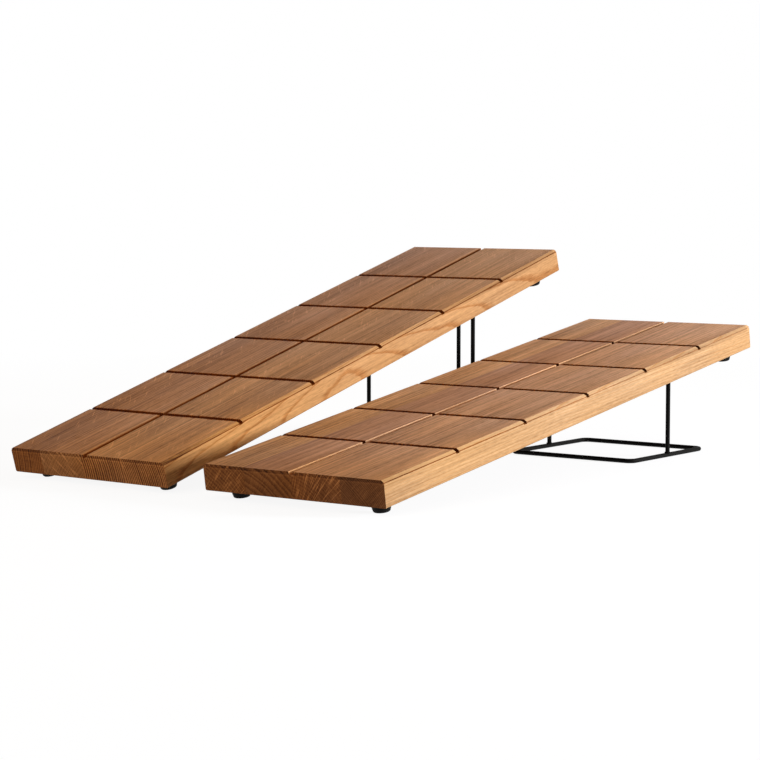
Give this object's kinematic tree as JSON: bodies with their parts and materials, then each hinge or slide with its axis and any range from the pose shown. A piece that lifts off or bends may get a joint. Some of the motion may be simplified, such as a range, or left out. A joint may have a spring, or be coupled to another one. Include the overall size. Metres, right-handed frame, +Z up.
{
  "type": "buffet board set",
  "caption": "Pair of long grooved oak buffet boards with serving cells, each leaning on a bent black wire stand at one end and on rubber feet at the other",
  "frame": {"origin": "on the table, under the centre of the pair's bounding box", "axes": "+Y runs along the front board from its low end to its high end, +X from the rear board to the front board, +Z up from the table; the rear board is turned 1.5 degrees clockwise seen from above"},
  "size_m": [0.3614, 0.5279, 0.1682],
  "materials": {
    "oak": "oiled",
    "rubber": "matte",
    "zinc": "zinc plated",
    "wire": "satin powder coat"
  },
  "bodies": {
    "stands": {"low_stand_base": "wire", "low_stand_bridge": "wire", "tall_stand_base": "wire", "tall_stand_bridge": "wire", "tall_stand_strut": "wire"},
    "front_board": {"front_left_stave": "oak", "front_mid_left_stave": "oak", "front_mid_right_stave": "oak", "front_right_stave": "oak", "front_low_left_foot": "rubber", "front_low_right_foot": "rubber", "front_high_left_foot": "rubber", "front_high_right_foot": "rubber", "front_foot_washers": "zinc", "front_foot_screws": "zinc"},
    "rear_board": {"rear_left_stave": "oak", "rear_mid_left_stave": "oak", "rear_mid_right_stave": "oak", "rear_right_stave": "oak", "rear_low_left_foot": "rubber", "rear_low_right_foot": "rubber", "rear_high_left_foot": "rubber", "rear_high_right_foot": "rubber", "rear_foot_washers": "zinc", "rear_foot_screws": "zinc"}
  },
  "joints": [
    {"name": "front_lift", "type": "slide", "parent": "stands", "child": "front_board", "axis": [0, 0, 1], "range_m": [0, 0.12]},
    {"name": "rear_lift", "type": "slide", "parent": "stands", "child": "rear_board", "axis": [0, 0, 1], "range_m": [0, 0.12]}
  ]
}
